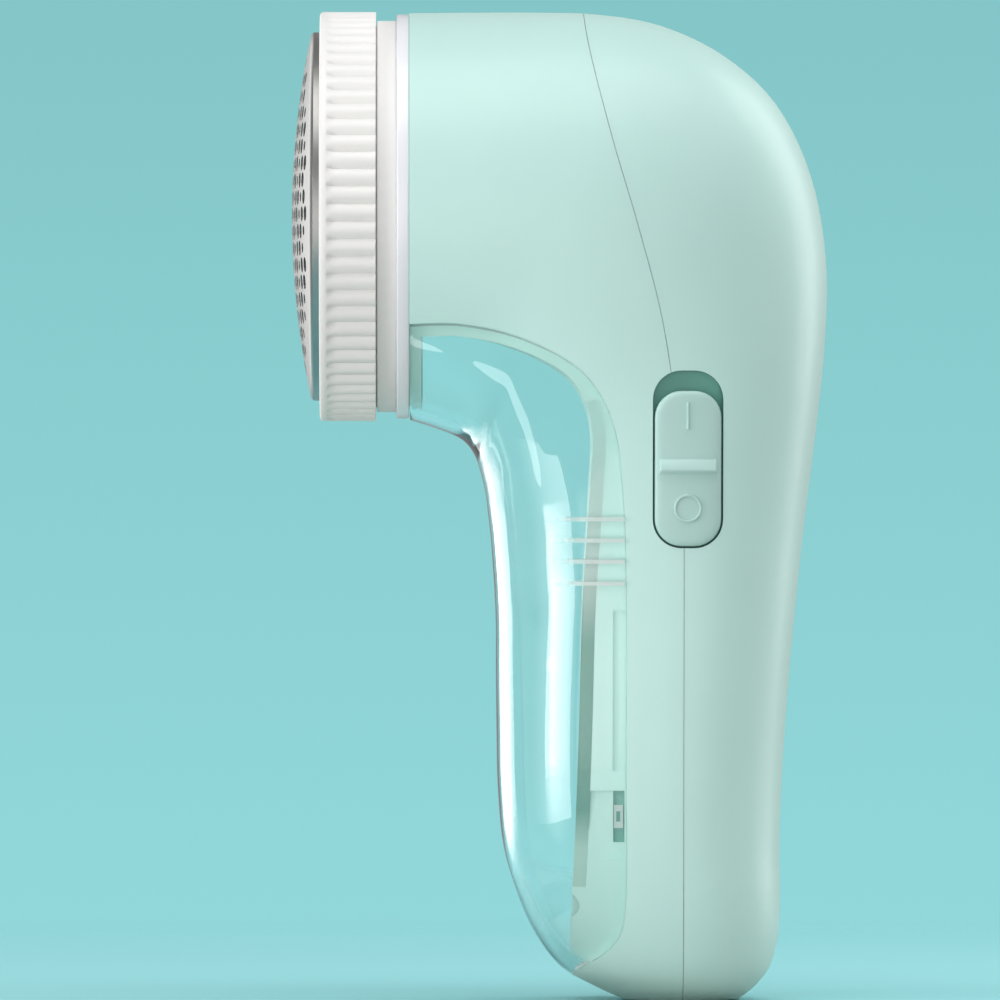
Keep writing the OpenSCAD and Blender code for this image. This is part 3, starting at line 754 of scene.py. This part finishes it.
def foil_ring():
    """The fluted clamp ring: soft scallops between a plain lip in front and a thin one behind."""
    flutes, depth = 72, 0.68
    lip = RING_FRONT - 1.15
    back = RING_BACK + 0.12
    inner = RING_R - 2.2
    bore_front, bore_back = 29.15, 30.1
    seat = FOIL_FLANGE + 0.6
    h_flutes = np.linspace(back + 0.05, lip - 0.05, 14)
    outer = [(RING_BACK, RING_R - 0.12), (RING_BACK + 0.04, RING_R - 0.03), (back, RING_R)]
    outer += [(h, RING_R) for h in h_flutes]
    outer += [(lip, RING_R), (RING_FRONT - 0.9, RING_R), (RING_FRONT - 0.35, RING_R - 0.05),
              (RING_FRONT - 0.1, RING_R - 0.25), (RING_FRONT, RING_R - 0.6)]
    inside = [(RING_FRONT, bore_front + 0.4), (RING_FRONT - 0.3, bore_front), (seat, bore_front),
              (seat, bore_back), (RING_BACK, bore_back)]

    def scallop(h, r, turn):
        if r < inner:
            return np.full(len(turn), float(r))
        lead_in = min(1.0, max(0.0, (lip - h) / 1.1))
        lead_in = math.sin(lead_in * math.pi / 2)
        wave = np.abs(np.cos(flutes * turn / 2))**0.75
        return r - depth * lead_in * (1 - wave)

    ring = lathe("foil_ring_fluted", outer + inside, flutes * 12, scallop)
    shade_smooth(ring, 40)
    finish(ring, "white_plastic", "ring", "foil_ring")


def trim_ring():
    bore = 28.4
    ring = lathe("trim_ring_turned", softened([(TRIM_BACK, bore), (TRIM_FRONT, bore),
                                               (TRIM_FRONT, TRIM_R), (TRIM_BACK, TRIM_R)], 0.35))
    shade_smooth(ring)
    finish(ring, "trim_plastic", "housing", "trim_ring")


def cutter_cup():
    """Neck, spigot and bulkhead in one moulding, with the opening that drops the lint."""
    cup_lo, cup_hi = box_mm("cutter_cup")
    bulkhead, spigot = -cup_hi[0], -cup_lo[0]
    inside, shoulder = bulkhead + 2, RING_BACK - 0.2
    shaft_hole, bore, mouth, neck_r, spigot_r, flange_r = 3.3, 26.5, 27.6, 28.3, 29.9, 30.7
    profile = softened([(bulkhead, shaft_hole), (inside, shaft_hole), (inside, bore),
                        (TRIM_FRONT, bore), (TRIM_FRONT, mouth), (spigot, mouth),
                        (spigot, spigot_r), (shoulder, spigot_r), (shoulder, flange_r),
                        (TRIM_FRONT, flange_r), (TRIM_FRONT, neck_r), (bulkhead, neck_r)], 0.2)
    cup = lathe("cutter_cup_moulding", profile, 192)
    minus(cup, block("chute", (-(TRIM_BACK + 0.1), -40, HEAD_Z - 40),
                     (-(bulkhead - 1), 40, HEAD_Z - 16.4)))
    shade_smooth(cup, 30)
    finish(cup, "white_plastic", "housing", "cutter_cup")


def foil():
    """Pressed dome: a plain rim, then staggered holes of two sizes up to the middle."""
    shoulder, skirt_r, thick = APEX - 3.1, 28.9, 0.35
    rise = APEX - shoulder
    dome_r = (skirt_r**2 + rise**2) / (2 * rise)
    pitch, big, small, holed = 3.05, 1.18, 0.78, 25.6
    centres = []
    for j in range(-10, 11):
        for i in range(-10, 11):
            y, z = pitch * (i + 0.5 * (j % 2)), pitch * j * math.sqrt(3) / 2
            if math.hypot(y, z) < holed - big:
                centres.append((y, z, small if (i + j // 2 * 2 + j % 2) % 3 == 0 else big))
    verts, edges = [], []

    def loop(cy, cz, r, count):
        first = len(verts)
        for k in range(count):
            a = 2 * math.pi * k / count
            verts.append(Vector((cy + r * math.cos(a), cz + r * math.sin(a))))
            edges.append((first + k, first + (k + 1) % count))

    for r in (skirt_r, skirt_r - 0.25, skirt_r - 0.6, 27.6, 26.8, 26.0):
        loop(0, 0, r, 120)
    for y, z, r in centres:
        loop(y, z, r, 16)
    flat, _, tris, _, _, _ = delaunay_2d_cdt(verts, edges, [], 1, 1e-6)
    keep = []
    for tri in tris:
        cy, cz = (sum(flat[i][axis] for i in tri) / 3 for axis in (0, 1))
        if all(math.hypot(cy - y, cz - z) > r * 0.96 for y, z, r in centres):
            keep.append(tri)
    points = []
    for p in flat:
        r = min(p.length, skirt_r)
        h = APEX - dome_r + math.sqrt(dome_r**2 - r * r)
        h -= thick * max(0.0, (r - (skirt_r - 0.6)) / 0.6)**2
        points.append((-h, p[0], HEAD_Z + p[1]))
    dome = new_object("foil_dome", points, keep)
    sheet = dome.modifiers.new("thickness", "SOLIDIFY")
    sheet.thickness = thick * MM
    sheet.offset = -1 if dome.data.polygons[0].normal.x < 0 else 1
    bake(dome)
    flange_r, bore = 29.9, 28.5
    edge_h, flange_h = shoulder - 0.3, FOIL_FLANGE + 0.5
    skirt = lathe("foil_skirt", softened([(FOIL_FLANGE, flange_r), (FOIL_FLANGE, bore),
                                          (edge_h, bore), (edge_h, skirt_r),
                                          (flange_h, skirt_r), (flange_h, flange_r)], 0.1))
    shade_smooth(skirt)
    shade_smooth(dome)
    finish(skirt, "foil_steel", "foil_carrier")
    finish(dome, "foil_steel", "foil_carrier", "foil")


# --- Switch ---------------------------------------------------------------------------------

PAD_ARC, PAD_STRAIGHT = 8, 18


def laid_pad(name, z_middle, width, length, radius, steps):
    """A closed pad on the switch side. steps are [edge inset, height above the body skin]."""
    rings = []
    for inset, height in steps:
        r = max(radius - inset, 0.0)
        half_w, half_l = width / 2 - max(radius, inset), length / 2 - max(radius, inset)
        outline = []
        for start, sx, sz in ((0, 1, 1), (90, -1, 1), (180, -1, -1), (270, 1, -1)):
            for a in np.radians(np.linspace(start, start + 90, PAD_ARC + 1)):
                outline.append((SLOT_X + sx * half_w + r * math.cos(a),
                                z_middle + sz * half_l + r * math.sin(a)))
            if sx != sz:
                # down the -X side after its top corner, up the +X side after its bottom one
                for t in np.linspace(0, 1, PAD_STRAIGHT + 2)[1:-1]:
                    outline.append((SLOT_X + sx * (width / 2 - inset),
                                    z_middle + sz * (half_l - 2 * half_l * t)))
        rings.append([(x, SKIN.depth(x, z) - height, z) for x, z in outline])

    # the walls, a ladder of quads across the face, and the underside
    n, m = len(rings[0]), len(rings)
    faces = ladder_faces(n, m)
    top = (m - 1) * n
    right = list(range(n - PAD_STRAIGHT - 1, n)) + [0]
    left_end = 2 * (PAD_ARC + 1) - 1
    left = list(range(left_end, left_end + PAD_STRAIGHT + 2))[::-1]
    for i in range(PAD_STRAIGHT + 1):
        faces.append((top + right[i], top + right[i + 1], top + left[i + 1], top + left[i]))
    faces.append(tuple(range(n)))
    return shade_smooth(new_object(name, np.vstack([np.array(r) for r in rings]), faces), 50)


def switch_button():
    steps = [(0.0, -2.4), (0.0, -0.35), (0.07, -0.02), (0.25, 0.2), (0.55, 0.33)]
    steps += [(inset, BUTTON_RISE) for inset in (1.0, 2.0, 3.2, CORNER)]
    button = laid_pad("switch_button_pad", SLOT_LOW + BUTTON_GAP + BUTTON_L / 2, BUTTON_W, BUTTON_L,
                      CORNER, steps)
    finish(button, "mint_plastic", "button", "switch_button")
    # the skirt is painted darker mint: painted shade at the floor of the slot
    finish(skirt(), "mint_plastic", "button", look="mint_painted_shade")
    finish(ridge(RIDGE_Z), "mint_plastic", "button")
    bar = [(SLOT_X, MARK_ON_Z - 2.1 + 4.2 * t) for t in np.linspace(0, 1, 9)]
    circle = [(SLOT_X + MARK_R * math.cos(a), MARK_OFF_Z + MARK_R * math.sin(a))
              for a in np.linspace(0, 2 * math.pi, 40, endpoint=False)]
    for name, path, closed in (("switch_mark_on", bar, False), ("switch_mark_off", circle, True)):
        finish(laid_line(name, path, closed, MARK_W, BUTTON_RISE), "mint_plastic", "button")


def ridge(z):
    """The thumb bar: a long slope on top, a crest and a short slope below."""
    across = [(1.1, -0.2), (1.1, 0.42), (0.95, 0.56), (-0.25, 1.0), (-0.5, 1.05), (-0.72, 0.98),
              (-1.1, 0.42), (-1.1, -0.2)]
    rings = []
    for x, scale in ((-4.45, 0.55), (-4.4, 0.85), (-4.2, 1.0), (0, 1.0), (4.2, 1.0), (4.4, 0.85),
                     (4.45, 0.55)):
        rings.append(np.array([(SLOT_X + x, SKIN.depth(SLOT_X + x, z) - 0.2 - h * scale, z + dz)
                               for dz, h in across]))
    return shade_smooth(loft("switch_ridge", rings), 28)


def skirt():
    """The plate behind the button that keeps the slot closed at both ends of its travel."""
    steps = [(0.0, -3.3), (0.0, -2.5)] + [(inset, -2.35) for inset in (0.2, 1.2, 2.4, 3.8, 5.2)]
    return laid_pad("switch_skirt", (SKIRT_LOW + SKIRT_HIGH) / 2, BUTTON_W + 3.2,
                    SKIRT_HIGH - SKIRT_LOW, 5.2, steps)


def laid_line(name, path, closed, width, base):
    """A low raised line with a rounded top, following the body skin."""
    p = np.array(path)
    step = np.roll(p, -1, axis=0) - np.roll(p, 1, axis=0) if closed else np.gradient(p, axis=0)
    step /= np.linalg.norm(step, axis=1)[:, None]
    side = np.stack([-step[:, 1], step[:, 0]], axis=1)
    profile = [(-1, -0.15), (-1, 0.10), (-0.7, 0.20), (0, 0.24), (0.7, 0.20), (1, 0.10), (1, -0.15)]
    rings = []
    for point, across in zip(p, side):
        ring = []
        for u, v in profile:
            x, z = point + across * u * width / 2
            ring.append((x, SKIN.depth(x, z) - base - v, z))
        rings.append(np.array(ring))
    if closed:
        rings.append(rings[0])
    obj = loft(name, rings, closed_ends=not closed)
    return shade_smooth(obj, 60)


# --- CAD nodes that keep their shape --------------------------------------------------------

def dress_cad():
    """Gives every CAD node its finish and smooth round faces, with edges over 32 degrees kept sharp.
    """
    slots = {s["node"]: s["material_slot"] for s in frame["record"]["subparts"]}
    for name, obj in frame["nodes"].items():
        obj.data.materials.clear()
        obj.data.materials.append(MATERIALS[slots[name]])
        obj.data.polygons.foreach_set("use_smooth", [True] * len(obj.data.polygons))
        weld = obj.modifiers.new("weld", "WELD")
        weld.merge_threshold = 1e-6
        split = obj.modifiers.new("sharp", "EDGE_SPLIT")
        split.split_angle = math.radians(32)


# --- Stage, light and camera ----------------------------------------------------------------

BACKDROP_LOW, BACKDROP_HIGH = (0.82, 1.94, 2.01), (0.64, 1.55, 1.58)


def floor():
    mesh = bpy.data.meshes.new("floor")
    side = 3.0
    corners = [(-side, -side, 0), (side, -side, 0), (side, side, 0), (-side, side, 0)]
    mesh.from_pydata(corners, [], [(0, 1, 2, 3)])
    obj = bpy.data.objects.new("floor", mesh)
    bpy.context.scene.collection.objects.link(obj)
    obj.location.z = -0.0002
    s = Shader("floor")
    s.tint(s.spread(s.noise(6.0), 0.0, 1.0), (0.305, 0.755, 0.785), (0.315, 0.765, 0.795))
    seen = s.node("ShaderNodeLightPath")
    bounce = s.node("ShaderNodeMix", data_type="RGBA")
    s.link(seen.outputs["Is Diffuse Ray"], bounce.inputs[0])
    s.link(s.bsdf.inputs["Base Color"].links[0].from_socket, bounce.inputs[6])
    bounce.inputs[7].default_value = (0.40, 0.41, 0.38, 1)
    s.link(bounce.outputs[2], s.bsdf.inputs["Base Color"])
    s.bsdf.inputs["Roughness"].default_value = 0.6
    s.bump(s.noise(900.0), 0.03, 0.0002)
    distance = s.node("ShaderNodeVectorMath", operation="LENGTH")
    s.link(s.coords, distance.inputs[0])
    fade = s.node("ShaderNodeMapRange", interpolation_type="SMOOTHSTEP")
    for key, value in (("From Min", 0.10), ("From Max", 0.5), ("To Min", 0.0), ("To Max", 1.0)):
        fade.inputs[key].default_value = value
    s.link(distance.outputs["Value"], fade.inputs["Value"])
    through = s.node("ShaderNodeBsdfTransparent")
    mix = s.node("ShaderNodeMixShader")
    s.link(fade.outputs["Result"], mix.inputs["Fac"])
    s.link(s.bsdf.outputs["BSDF"], mix.inputs[1])
    s.link(through.outputs["BSDF"], mix.inputs[2])
    s.link(mix.outputs["Shader"], s.output.inputs["Surface"])
    mesh.materials.append(s.material)


def world():
    made = bpy.data.worlds.new("studio")
    bpy.context.scene.world = made
    made.use_nodes = True
    nodes, links = made.node_tree.nodes, made.node_tree.links
    nodes.clear()
    path = nodes.new("ShaderNodeLightPath")
    seen = nodes.new("ShaderNodeMath")
    seen.operation = "MAXIMUM"
    links.new(path.outputs["Is Camera Ray"], seen.inputs[0])
    links.new(path.outputs["Is Transmission Ray"], seen.inputs[1])
    color = nodes.new("ShaderNodeMix")
    color.data_type = "RGBA"
    color.inputs[6].default_value = (0.86, 0.88, 0.89, 1)
    height = nodes.new("ShaderNodeSeparateXYZ")
    links.new(nodes.new("ShaderNodeTexCoord").outputs["Generated"], height.inputs[0])
    rise = nodes.new("ShaderNodeMapRange")
    rise.inputs["From Min"].default_value, rise.inputs["From Max"].default_value = -0.04, 0.04
    links.new(height.outputs["Z"], rise.inputs["Value"])
    sky = nodes.new("ShaderNodeMix")
    sky.data_type = "RGBA"
    sky.inputs[6].default_value = (*BACKDROP_LOW, 1)
    sky.inputs[7].default_value = (*BACKDROP_HIGH, 1)
    links.new(rise.outputs["Result"], sky.inputs[0])
    links.new(sky.outputs[2], color.inputs[7])
    links.new(seen.outputs[0], color.inputs[0])
    shader = nodes.new("ShaderNodeBackground")
    shader.inputs["Strength"].default_value = 0.36
    out = nodes.new("ShaderNodeOutputWorld")
    links.new(color.outputs[2], shader.inputs["Color"])
    links.new(shader.outputs[0], out.inputs["Surface"])


def area_light(name, place, target, size, power):
    data = bpy.data.lights.new(name, "AREA")
    data.shape = "RECTANGLE"
    data.size, data.size_y = size
    data.energy = power
    obj = bpy.data.objects.new(name, data)
    obj.location = place
    obj.rotation_euler = (Vector(target) - Vector(place)).to_track_quat("-Z", "Y").to_euler()
    bpy.context.scene.collection.objects.link(obj)


def fading_light(name, place, target, size, power, ends=(2.2, 0.0)):
    """A softbox whose glow fades across its width, from its left end to its right end."""
    area_light(name, place, target, size, power)
    data = bpy.data.lights[name]
    data.use_nodes = True
    tree = data.node_tree
    glow = tree.nodes["Emission"]
    across = tree.nodes.new("ShaderNodeSeparateXYZ")
    where = tree.nodes.new("ShaderNodeNewGeometry")
    tree.links.new(where.outputs["Parametric"], across.inputs[0])
    fade = tree.nodes.new("ShaderNodeMapRange")
    fade.interpolation_type = "SMOOTHSTEP"
    fade.inputs["To Min"].default_value, fade.inputs["To Max"].default_value = ends
    tree.links.new(across.outputs["X"], fade.inputs["Value"])
    tree.links.new(fade.outputs["Result"], glow.inputs["Strength"])


def lights():
    middle = (0, 0, 0.085)
    area_light("softbox_top", (0.06, -0.22, 0.85), middle, (0.9, 0.6), 3.9)
    fading_light("softbox_left", (-0.72, -0.50, 0.12), middle, (0.50, 0.62), 3.3)
    area_light("softbox_right", (0.62, 0.36, 0.36), middle, (0.4, 0.8), 3.2)
    area_light("rim_left", (-0.55, 0.70, 0.15), middle, (0.5, 0.8), 2.2)
    area_light("fill_front", (-0.25, -1.2, 0.08), middle, (1.2, 0.8), 3.7)
    bin_highlights()
    low_fill()


def low_fill():
    """A dim strip low in front that only lifts the shade on the handle."""
    handle = bpy.data.collections.new("lit_handle")
    for name in ("front_housing_skin", "rear_housing_skin"):
        handle.objects.link(bpy.data.objects[name])
    area_light("fill_low", (0.03, -0.15, 0.03), (0.02, 0, 0.03), (0.2, 0.05), 0.034)
    light = bpy.data.objects["fill_low"]
    light.light_linking.receiver_collection = handle
    light.visible_camera = light.visible_transmission = False


def bin_highlights():
    """Panels that only show as reflections in the clear bin."""
    only_bin = bpy.data.collections.new("lit_bin")
    only_bin.objects.link(bpy.data.objects["lint_bin_shell"])
    fading_light("highlight_side", (-0.131, -0.069, 0.034), (0, -0.02, 0.034), (0.134, 0.056),
                 0.052, (0.0, 2.2))
    area_light("highlight_under", (-0.0545, -0.041, 0.050), (-0.0545, -0.041, 1.0),
               (0.050, 0.013), 0.007)
    under = bpy.data.objects["highlight_under"]
    under.data.shape = "ELLIPSE"
    under.rotation_euler = (math.pi, 0, math.radians(13))
    for name in ("highlight_side", "highlight_under"):
        light = bpy.data.objects[name]
        light.light_linking.receiver_collection = only_bin
        light.visible_camera = light.visible_diffuse = light.visible_transmission = False


def camera():
    """Side view on a long lens: the frame is 157 mm wide at the object."""
    lens, sensor, width = 500.0, 36.0, 0.157
    data = bpy.data.cameras.new("camera")
    data.lens, data.sensor_width = lens, sensor
    data.clip_start, data.clip_end = 0.05, 20
    obj = bpy.data.objects.new("camera", data)
    bpy.context.scene.collection.objects.link(obj)
    yaw = math.radians(-0.4)
    distance = width * lens / sensor
    target = Vector((-0.00934, 0, 0.0782))
    obj.location = target + distance * Vector((math.sin(yaw), -math.cos(yaw), 0))
    obj.rotation_euler = (target - obj.location).to_track_quat("-Z", "Y").to_euler()
    bpy.context.scene.camera = obj


dress_cad()
front_housing()
rear_housing()
bin_seal()
lint_bin()
foil_ring()
trim_ring()
cutter_cup()
foil()
switch_button()
floor()
world()
lights()
camera()
bpy.context.scene.view_settings.view_transform = "Standard"
